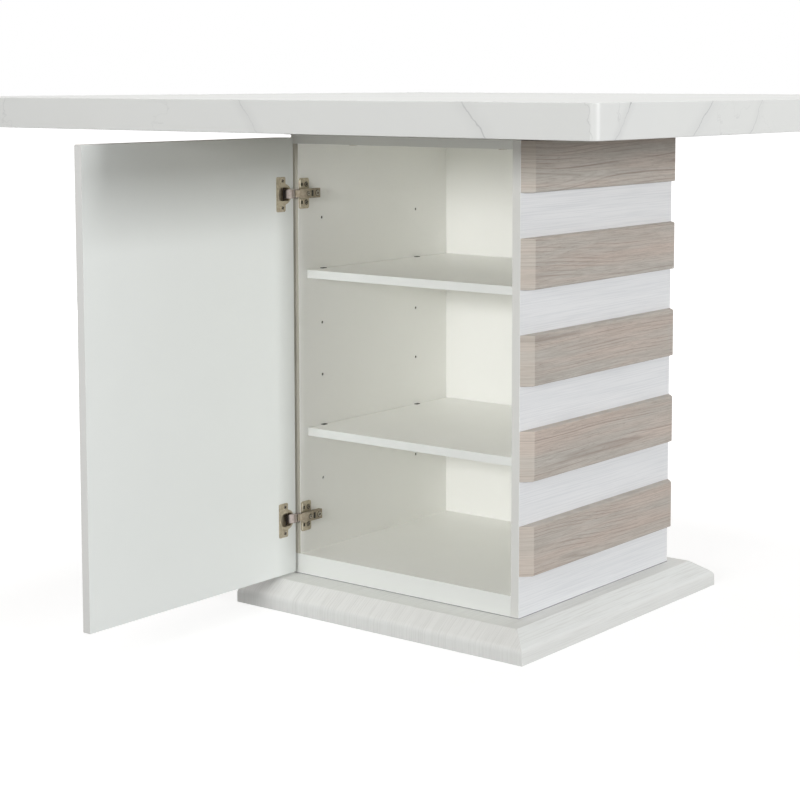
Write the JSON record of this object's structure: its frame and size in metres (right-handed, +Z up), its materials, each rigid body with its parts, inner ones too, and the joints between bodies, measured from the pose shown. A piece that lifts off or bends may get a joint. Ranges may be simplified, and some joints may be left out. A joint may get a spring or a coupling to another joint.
{
  "type": "bar table",
  "caption": "Bar-height pedestal table: square marble-look top on a slatted cupboard column with a hinged door, shelves and a moulded plinth.",
  "frame": {"origin": "centre of the plinth's underside, on the floor", "axes": "+Z up, -Y towards the side with the door, +X to the right as one faces the door"},
  "size_m": [1.372, 1.4244, 0.914],
  "materials": {
    "marble_laminate": "satin white marble-look laminate on board",
    "raw_board": "bare particle board",
    "backing_board": "grey backing paper on fibreboard",
    "white_brushed_foil": "white foil with fine brushed grain",
    "white_melamine": "smooth satin white melamine",
    "white_door_lacquer": "smooth satin white lacquer",
    "taupe_oak_foil": "matt taupe oak-grain foil",
    "plinth_foil": "white foil with fine brushed grain",
    "hinge_nickel": "warm nickel-plated pressed steel",
    "link_steel": "satin steel",
    "screw_zinc": "zinc-plated steel",
    "support_plastic": "dark grey moulded plastic",
    "beech_dowel": "bare beech"
  },
  "bodies": {
    "cabinet": {"base_bolts": "screw_zinc", "base_bottom_board": "backing_board", "base_core_rails": "raw_board", "base_plinth": "plinth_foil", "bottom_panel": "white_melamine", "cam_fittings": "screw_zinc", "corner_blocks": "raw_board", "front_rail": "white_melamine", "hinge_arm_lower": "hinge_nickel", "hinge_arm_pins": "link_steel", "hinge_arm_screws": "screw_zinc", "hinge_arm_upper": "hinge_nickel", "hinge_plate_lower": "hinge_nickel", "hinge_plate_screws": "screw_zinc", "hinge_plate_upper": "hinge_nickel", "inner_back_panel": "white_melamine", "insert_nuts": "screw_zinc", "mounting_board": "backing_board", "mounting_board_screws": "screw_zinc", "panel_dowels": "beech_dowel", "rear_panel": "white_brushed_foil", "rear_rail": "raw_board", "shelf_lower": "white_melamine", "shelf_supports_lower": "support_plastic", "shelf_supports_upper": "support_plastic", "shelf_upper": "white_melamine", "side_panel_left": "white_brushed_foil", "side_panel_right": "white_brushed_foil", "slat_left_1": "taupe_oak_foil", "slat_left_2": "taupe_oak_foil", "slat_left_3": "taupe_oak_foil", "slat_left_4": "taupe_oak_foil", "slat_left_5": "taupe_oak_foil", "slat_rear_1": "taupe_oak_foil", "slat_rear_2": "taupe_oak_foil", "slat_rear_3": "taupe_oak_foil", "slat_rear_4": "taupe_oak_foil", "slat_rear_5": "taupe_oak_foil", "slat_right_1": "taupe_oak_foil", "slat_right_2": "taupe_oak_foil", "slat_right_3": "taupe_oak_foil", "slat_right_4": "taupe_oak_foil", "slat_right_5": "taupe_oak_foil", "table_top_core_rails": "raw_board", "table_top_shell": "marble_laminate", "table_top_underside": "backing_board", "top_bolts": "screw_zinc", "top_panel": "white_melamine"},
    "door": {"door_panel": "white_door_lacquer", "hinge_cup_lower": "hinge_nickel", "hinge_cup_pins": "link_steel", "hinge_cup_screws": "screw_zinc", "hinge_cup_upper": "hinge_nickel", "slat_door_1": "taupe_oak_foil", "slat_door_2": "taupe_oak_foil", "slat_door_3": "taupe_oak_foil", "slat_door_4": "taupe_oak_foil", "slat_door_5": "taupe_oak_foil"},
    "hinge_links": {"hinge_link_lower": "link_steel", "hinge_link_upper": "link_steel"}
  },
  "joints": [
    {"name": "door_hinge", "type": "hinge", "parent": "cabinet", "child": "door", "pos_m": [-0.247, -0.2424, 0], "axis": [0, 0, -1], "range_deg": [-90, 10]},
    {"name": "link_pivot", "type": "hinge", "parent": "cabinet", "child": "hinge_links", "pos_m": [-0.235, -0.2365, 0], "axis": [0, 0, -1], "range_deg": [-90, 10]}
  ],
  "couplings": [
    {"joint": "link_pivot", "follows": "door_hinge", "ratio": 1}
  ]
}
